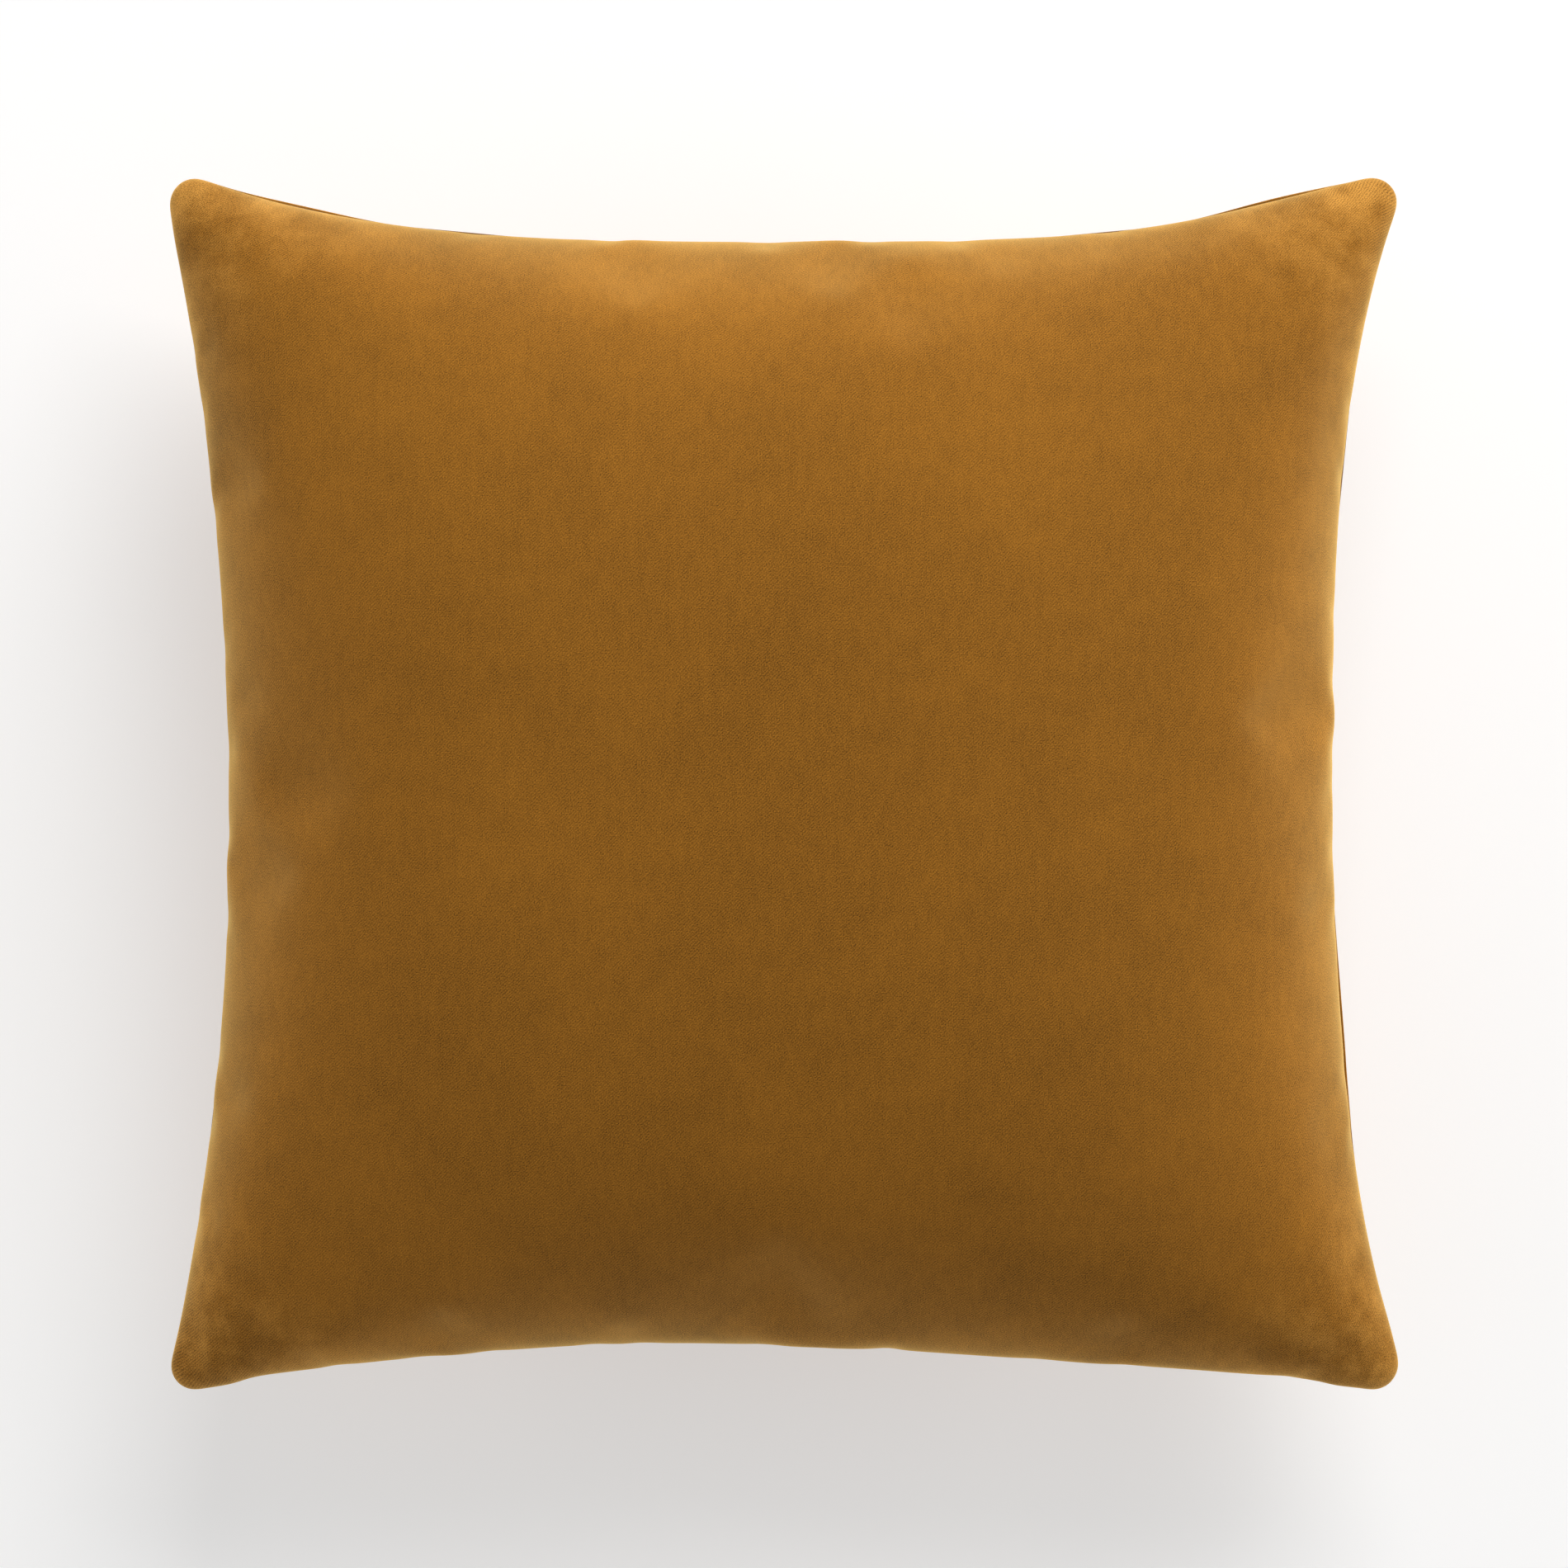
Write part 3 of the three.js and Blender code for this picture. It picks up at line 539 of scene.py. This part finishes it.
def insert_filling(moved_front, moved_back):
    places = panel_places()[::2]
    index = grid_indices(len(places) - 1)
    rim = boundary_loop(index)
    parts = []
    for up, moved in ((1, moved_front), (-1, moved_back)):
        surface = crown_shape(places, FILL_INSET, FILL_CROWN * SIM_START) * [1, 1, up]
        parts.append(surface + FILL_FOLLOWS * resampled(moved, places))
    points = np.concatenate([p.reshape(-1, 3) for p in parts]) + [0, 0, SEAM_HEIGHT]
    points[:, 2] = rest_on_floor(points[:, 2], FILL_REST)
    low_rim = rim + index.size
    faces = [grid_faces(index), grid_faces(index + index.size)[:, ::-1]]
    faces.append(np.stack([rim, low_rim, np.roll(low_rim, -1), np.roll(rim, -1)], 1))
    obj = new_object("insert_fill_fibre", points, np.concatenate(faces))
    obj.data.polygons.foreach_set("use_smooth", [True] * len(obj.data.polygons))
    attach(obj, "pillow")
    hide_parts("insert_fill")
    return obj


sim_places = np.linspace(-1, 1, SIM_CELLS + 1)
moved_front, moved_back = inflate(crown_shape(sim_places, 0, CROWN * SIM_START))

cover_front = cover_panel(1, moved_front)
cover_back = cover_panel(-1, moved_back)
insert_front = insert_panel(1, moved_front)
insert_back = insert_panel(-1, moved_back)
filling = insert_filling(moved_front, moved_back)


# ---------------------------------------------------------------- the zipper


def zipper_coil(node, up):
    """A coil of wire along the zipper's arc, in the place of its CAD tube. The slider's joint is at
    the arc's centre."""
    low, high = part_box(node)
    travel = next(j for j in frame["record"]["behaviour"]["joints"] if j["name"] == "zipper_travel")
    centre = np.array(travel["pos_m"])
    radius = high.y - COIL_TUBE - centre[1]
    start, end = math.asin(low.x / radius), math.asin(high.x / radius)
    turns = int((end - start) * radius / COIL_PITCH)
    phase = np.linspace(0, 2 * math.pi * turns, turns * COIL_STEPS + 1)[:, None]
    angle = np.linspace(start, end, len(phase))
    inward = np.stack([np.sin(angle), np.cos(angle), np.zeros_like(angle)], 1)
    away = np.array([0, 0, up])
    path = centre + inward * (radius + COIL_TURN_DEPTH * np.cos(phase))
    path = path + away * (COIL_HEIGHT + COIL_TURN_HEIGHT * np.sin(phase))
    along = np.gradient(path, axis=0)
    along /= np.linalg.norm(along, axis=1, keepdims=True)
    spoke = inward * np.cos(phase) + away * np.sin(phase)
    spoke -= along * (spoke * along).sum(1, keepdims=True)
    spoke /= np.linalg.norm(spoke, axis=1, keepdims=True)
    across = np.cross(along, spoke)
    rounds = np.linspace(0, 2 * math.pi, WIRE_SIDES + 1)[:-1]
    wire = [path + COIL_WIRE * (spoke * math.cos(a) + across * math.sin(a)) for a in rounds]
    points = np.stack(wire, 1).reshape(-1, 3)
    index = np.arange(len(points)).reshape(-1, len(rounds))
    ahead = np.roll(index, -1, 1)
    sides = np.stack([index[:-1], index[1:], ahead[1:], ahead[:-1]], -1).reshape(-1, 4)
    coil = new_object(node + "_wire", points, [*sides, index[0], index[-1][::-1]])
    coil.data.polygons.foreach_set("use_smooth", [True] * len(coil.data.polygons))
    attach(coil, "pillow")
    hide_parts(node)
    return coil


coils = [zipper_coil("zipper_coil_front", 1), zipper_coil("zipper_coil_back", -1)]
for name in METAL_NODES:
    bevel = frame["nodes"][name].modifiers.new("worn edges", "BEVEL")
    bevel.width = METAL_BEVEL
    bevel.segments = 2


# ---------------------------------------------------------------- materials


class Nodes:
    """A material's node tree, built one node at a time."""

    def __init__(self, name):
        self.material = bpy.data.materials.new(name)
        self.material.use_nodes = True
        self.tree = self.material.node_tree
        self.tree.nodes.clear()
        output = self.add("ShaderNodeOutputMaterial")
        self.shader = self.add("ShaderNodeBsdfPrincipled")
        self.tree.links.new(self.shader.outputs[0], output.inputs["Surface"])

    def add(self, kind, inputs=None, **settings):
        node = self.tree.nodes.new(kind)
        for key, value in settings.items():
            setattr(node, key, value)
        for key, value in (inputs or {}).items():
            self.put(node.inputs[key], value)
        return node

    def put(self, socket, value):
        if isinstance(value, bpy.types.NodeSocket):
            self.tree.links.new(value, socket)
        else:
            socket.default_value = value

    def shade(self, **values):
        for key, value in values.items():
            self.put(self.shader.inputs[key.replace("_", " ")], value)

    def math(self, operation, a, b):
        return self.add("ShaderNodeMath", {0: a, 1: b}, operation=operation).outputs[0]

    def scaled(self, value, from_low, from_high, to_low=0, to_high=1):
        inputs = {"Value": value, "From Min": from_low, "From Max": from_high}
        inputs.update({"To Min": to_low, "To Max": to_high})
        return self.add("ShaderNodeMapRange", inputs).outputs[0]

    def blend(self, a, b, share):
        """A value that goes from a to b as the share of b goes from 0 to 1."""
        return self.add("ShaderNodeMix", {0: share, 2: a, 3: b}, data_type="FLOAT").outputs[0]

    def noise(self, vector, scale, detail=2.0, roughness=0.5):
        inputs = {"Vector": vector, "Scale": scale, "Detail": detail, "Roughness": roughness}
        return self.add("ShaderNodeTexNoise", inputs).outputs["Fac"]

    def bands(self, vector, pitch, distortion, detail_scale=1.0):
        """Soft stripes across x, one every `pitch`."""
        inputs = {"Vector": vector, "Scale": math.pi / (10 * pitch), "Distortion": distortion}
        inputs.update({"Detail": 1.0, "Detail Scale": detail_scale})
        return self.add("ShaderNodeTexWave", inputs).outputs["Fac"]

    def ramp(self, value, low, high):
        """A colour from `low` to `high` as the value goes from 0 to 1."""
        mix = self.add("ShaderNodeMix", {"Factor": value}, data_type="RGBA")
        for socket, colour in ((mix.inputs[6], low), (mix.inputs[7], high)):
            self.put(socket, (*colour, 1) if isinstance(colour, tuple) else colour)
        return mix.outputs[2]

    def stretched(self, vector, scale):
        return self.add("ShaderNodeMapping", {"Vector": vector, "Scale": scale}).outputs[0]

    def turned(self, vector, angle):
        inputs = {"Vector": vector, "Rotation": (0, 0, angle)}
        return self.add("ShaderNodeMapping", inputs).outputs[0]

    def bump(self, height, distance, strength=1.0):
        inputs = {"Height": height, "Distance": distance, "Strength": strength}
        return self.add("ShaderNodeBump", inputs).outputs[0]


def use(material, slot, *objects):
    for obj in objects:
        obj.data.materials.clear()
        obj.data.materials.append(material)


def cloth_uv(nodes):
    return nodes.add("ShaderNodeUVMap", uv_map="cloth").outputs[0]


def velvet_material():
    """Short cotton pile over a fine twill: a speckle of lit and shaded tips, a soft nap brushed this way
    and that, more so near the seams, and a painted sheen: the colour lightens towards a lit tone where
    the cloth turns away from the camera, and in brushed patches near the corners."""
    nodes = Nodes("velvet")
    cloth = cloth_uv(nodes)
    place = nodes.add("ShaderNodeTexCoord").outputs["Object"]
    twill = nodes.bands(nodes.turned(cloth, math.radians(45)), TWILL_PITCH, 2.5, 0.5)
    grain = nodes.noise(cloth, 2000, 1, 0.5)
    streaks = nodes.noise(nodes.stretched(cloth, (1, 0.4, 1)), 300, 3, 0.6)
    fine = nodes.blend(twill, grain, 0.86)
    nap = nodes.noise(place, 9, 3, 0.55)
    wisps = nodes.noise(place, 45, 3, 0.6)
    across = nodes.add("ShaderNodeSeparateXYZ", {0: cloth}).outputs
    from_middle_x = nodes.math("ABSOLUTE", across[0], 0)
    from_middle_y = nodes.math("ABSOLUTE", across[1], 0)
    near_seam = nodes.scaled(nodes.math("MAXIMUM", from_middle_x, from_middle_y), *NEAR_SEAM)
    near_corner = nodes.scaled(nodes.math("ADD", from_middle_x, from_middle_y), *NEAR_CORNER)
    broad = nodes.blend(nap, wisps, nodes.scaled(near_seam, 0, 1, 0.38, 0.5))
    pile = nodes.blend(fine, streaks, 0.13)
    shade = nodes.blend(pile, broad, nodes.scaled(near_seam, 0, 1, 0.19, 0.26))
    darkest = nodes.scaled(near_seam, 0, 1, 0.305, 0.375)
    lightest = nodes.scaled(near_seam, 0, 1, 0.695, 0.625)
    tone = nodes.scaled(shade, darkest, lightest)
    colour = nodes.ramp(tone, (0.09, 0.035, 0.0024), (0.505, 0.203, 0.0175))
    # Painted sheen: the base colour is blended towards a lighter, lit tone (0.9, 0.46, 0.1) where the
    # cloth turns away from the camera, speckled by the pile's grain.
    facing = nodes.add("ShaderNodeLayerWeight", {"Blend": 0.5}).outputs["Facing"]
    speckle = nodes.scaled(shade, 0.37, 0.63, 0.15, 1.0)
    # Brushed patches near the corners, painted as extra sheen in the same lit tone.
    brushed = nodes.math("MULTIPLY", near_corner, nodes.scaled(wisps, 0.4, 0.65, 0, 0.5))
    lit = nodes.math("ADD", nodes.math("POWER", facing, 3), brushed)
    painted_sheen = nodes.math("MULTIPLY", lit, speckle)
    colour = nodes.ramp(painted_sheen, colour, (0.9, 0.46, 0.1))
    nodes.shade(
        Base_Color=colour,
        Roughness=0.85,
        Specular_IOR_Level=0.15,
        Sheen_Weight=1.0,
        Sheen_Roughness=0.36,
        Sheen_Tint=(1.0, 0.73, 0.26, 1),
        Normal=nodes.bump(fine, 0.0002, 0.3),
    )
    return nodes.material


def ticking_material():
    nodes = Nodes("ticking")
    cloth = cloth_uv(nodes)
    warp = nodes.bands(cloth, TICKING_PITCH, 0.6, 0.5)
    weft = nodes.bands(nodes.turned(cloth, math.radians(90)), TICKING_PITCH, 0.6, 0.5)
    weave = nodes.math("MAXIMUM", warp, weft)
    slub = nodes.noise(cloth, 60, 4, 0.6)
    colour = nodes.ramp(slub, (0.74, 0.71, 0.64), (0.86, 0.84, 0.78))
    nodes.shade(
        Base_Color=colour,
        Roughness=0.9,
        Specular_IOR_Level=0.2,
        Sheen_Weight=0.15,
        Normal=nodes.bump(weave, 0.00012, 0.5),
    )
    return nodes.material


def fibre_material():
    nodes = Nodes("filling")
    place = nodes.add("ShaderNodeTexCoord").outputs["Object"]
    clumps = nodes.noise(place, 45, 5, 0.65)
    strands = nodes.noise(place, 700, 4, 0.7)
    height = nodes.math("ADD", clumps, nodes.math("MULTIPLY", strands, 0.15))
    colour = nodes.ramp(clumps, (0.78, 0.76, 0.71), (0.9, 0.89, 0.86))
    nodes.shade(
        Base_Color=colour,
        Roughness=0.95,
        Sheen_Weight=0.3,
        Normal=nodes.bump(height, 0.004, 0.8),
    )
    return nodes.material


def thread_material(name, low, high):
    """Plied thread: a twist of fine diagonal ridges."""
    nodes = Nodes(name)
    place = nodes.add("ShaderNodeTexCoord").outputs["Object"]
    twist = nodes.bands(nodes.turned(place, math.radians(40)), THREAD_PITCH, 0.5)
    fuzz = nodes.noise(place, 2500, 2)
    colour = nodes.ramp(nodes.math("MULTIPLY", twist, fuzz), low, high)
    nodes.shade(
        Base_Color=colour,
        Roughness=0.6,
        Sheen_Weight=0.3,
        Normal=nodes.bump(twist, 0.0001, 0.7),
    )
    return nodes.material


def tape_material():
    nodes = Nodes("zipper_tape")
    place = nodes.add("ShaderNodeTexCoord").outputs["Object"]
    ribs = nodes.bands(place, TAPE_RIB_PITCH, 0.2)
    picks = nodes.bands(nodes.turned(place, math.radians(90)), TAPE_PICK_PITCH, 0.2)
    weave = nodes.math("MULTIPLY", ribs, picks)
    colour = nodes.ramp(weave, (0.16, 0.075, 0.018), (0.26, 0.13, 0.036))
    nodes.shade(
        Base_Color=colour,
        Roughness=0.8,
        Sheen_Weight=0.2,
        Normal=nodes.bump(weave, 0.0001, 0.6),
    )
    return nodes.material


def coil_material():
    nodes = Nodes("zipper_coil")
    place = nodes.add("ShaderNodeTexCoord").outputs["Object"]
    dye = nodes.noise(place, 300, 3, 0.6)
    drawn = nodes.noise(place, 4000, 2)
    colour = nodes.ramp(dye, (0.3, 0.15, 0.04), (0.42, 0.23, 0.07))
    nodes.shade(
        Base_Color=colour,
        Roughness=0.4,
        Coat_Weight=0.2,
        Normal=nodes.bump(drawn, 0.00003, 0.5),
    )
    return nodes.material


def metal_material():
    nodes = Nodes("zipper_metal")
    place = nodes.add("ShaderNodeTexCoord").outputs["Object"]
    wear = nodes.noise(place, 260, 4, 0.6)
    scratches = nodes.noise(nodes.turned(place, math.radians(20)), 1800, 2)
    colour = nodes.ramp(wear, (0.27, 0.155, 0.05), (0.46, 0.29, 0.105))
    nodes.shade(
        Base_Color=colour,
        Metallic=1.0,
        Roughness=nodes.scaled(wear, 0, 1, 0.24, 0.46),
        Normal=nodes.bump(scratches, 0.00003, 0.5),
    )
    return nodes.material


def label_material():
    nodes = Nodes("label")
    place = nodes.add("ShaderNodeTexCoord").outputs["Object"]
    satin = nodes.bands(place, SATIN_PITCH, 0.3)
    # The satin's colour is lighter and darker in soft random patches.
    label_patches = nodes.noise(place, 120, 3)
    colour = nodes.ramp(label_patches, (0.8, 0.79, 0.75), (0.9, 0.895, 0.87))
    nodes.shade(
        Base_Color=colour,
        Roughness=0.45,
        Sheen_Weight=0.2,
        Normal=nodes.bump(satin, 0.00005, 0.5),
    )
    return nodes.material


cad = frame["nodes"]
gold_thread = thread_material("sewing_thread", (0.2, 0.09, 0.018), (0.42, 0.22, 0.06))
white_thread = thread_material("white_thread", (0.72, 0.7, 0.64), (0.9, 0.89, 0.86))
use(velvet_material(), "velvet", cover_front, cover_back)
use(ticking_material(), "ticking", insert_front, insert_back)
use(fibre_material(), "filling", filling)
use(
    gold_thread,
    "sewing_thread",
    cad["cover_seam_thread"],
    cad["cover_overlock_thread"],
    cad["zipper_side_overlock_front"],
    cad["zipper_side_overlock_back"],
    cad["zipper_stitch_front"],
    cad["zipper_stitch_back"],
)
use(
    white_thread,
    "white_thread",
    cad["insert_seam_thread"],
    cad["insert_closing_thread"],
    cad["insert_overlock_thread"],
)
use(tape_material(), "zipper_tape", cad["zipper_tape_front"], cad["zipper_tape_back"])
use(coil_material(), "zipper_coil", *coils)
use(metal_material(), "zipper_metal", *[cad[name] for name in METAL_NODES])
use(label_material(), "label", cad["cover_care_label"], cad["insert_label"])


# ---------------------------------------------------------------- floor, light and camera


def floor_material():
    """Pale and matt, and glowing: faintly under the pillow, which lightens its shadow, and more further
    out, where the lights don't reach.
    """
    nodes = Nodes("floor")
    place = nodes.add("ShaderNodeTexCoord").outputs["Object"]
    colour = nodes.ramp(nodes.noise(place, 3, 2), (0.61, 0.61, 0.61), (0.63, 0.63, 0.63))
    from_middle = nodes.add("ShaderNodeVectorMath", {0: place}, operation="LENGTH").outputs["Value"]
    glow = nodes.scaled(from_middle, *FLOOR_GLOW_FROM, *FLOOR_GLOW)
    nodes.shade(Base_Color=colour, Roughness=0.9, Specular_IOR_Level=0.1)
    nodes.shade(Emission_Color=(1, 1, 1, 1), Emission_Strength=glow)
    return nodes.material


def area_light(name, place, target, width, height, power, colour):
    data = bpy.data.lights.new(name, "AREA")
    data.shape = "RECTANGLE"
    data.size, data.size_y = width, height
    data.energy = power
    data.color = colour
    light = bpy.data.objects.new(name, data)
    light.location = place
    light.rotation_euler = (Vector(target) - Vector(place)).to_track_quat("-Z", "Y").to_euler()
    bpy.context.scene.collection.objects.link(light)


def stage_floor():
    signs = [(-1, -1), (1, -1), (1, 1), (-1, 1)]
    corners = [(FLOOR_HALF * x, FLOOR_HALF * y, 0) for x, y in signs]
    floor = new_object("floor", corners, [(0, 1, 2, 3)])
    floor.data.materials.append(floor_material())


def studio_world(overhead, horizon):
    """White light from all round, brighter towards the horizon, as from a lit backdrop."""
    world = bpy.data.worlds.new("studio")
    world.use_nodes = True
    tree = world.node_tree
    place = tree.nodes.new("ShaderNodeTexCoord")
    height = tree.nodes.new("ShaderNodeSeparateXYZ")
    low = tree.nodes.new("ShaderNodeMath")
    low.operation, low.use_clamp = "SUBTRACT", True
    low.inputs[0].default_value = 1
    power = tree.nodes.new("ShaderNodeMath")
    power.operation = "POWER"
    power.inputs[1].default_value = HORIZON_POWER
    strength = tree.nodes.new("ShaderNodeMapRange")
    strength.inputs["To Min"].default_value = overhead
    strength.inputs["To Max"].default_value = horizon
    background = tree.nodes["Background"]
    background.inputs["Color"].default_value = (1, 1, 1, 1)
    tree.links.new(place.outputs["Generated"], height.inputs[0])
    tree.links.new(height.outputs["Z"], low.inputs[1])
    tree.links.new(low.outputs[0], power.inputs[0])
    tree.links.new(power.outputs[0], strength.inputs["Value"])
    tree.links.new(strength.outputs[0], background.inputs["Strength"])
    return world


stage_floor()
MIDDLE = (0, 0, SEAM_HEIGHT)
area_light("key_from_top", (0.84, 2.31, 1.8), MIDDLE, 2.2, 1.9, 80, (1.0, 0.99, 0.98))
area_light("side_from_right", (2.5, 0.3, 0.7), MIDDLE, 1.2, 0.8, 12, (1.0, 0.99, 0.97))
area_light("fill_from_left", (-2.4, 0.1, 0.9), MIDDLE, 1.2, 0.8, 8, (1.0, 0.99, 0.97))

bpy.context.scene.world = studio_world(overhead=0.22, horizon=1.4)
bpy.context.scene.view_settings.view_transform = "Standard"

camera_data = bpy.data.cameras.new("camera")
camera_data.sensor_width = SENSOR_WIDTH
camera_data.lens = SENSOR_WIDTH * CAMERA_DISTANCE / FRAME_WIDTH
camera = bpy.data.objects.new("camera", camera_data)
camera.location = (0, 0, SEAM_HEIGHT + CAMERA_DISTANCE)
bpy.context.scene.collection.objects.link(camera)
bpy.context.scene.camera = camera
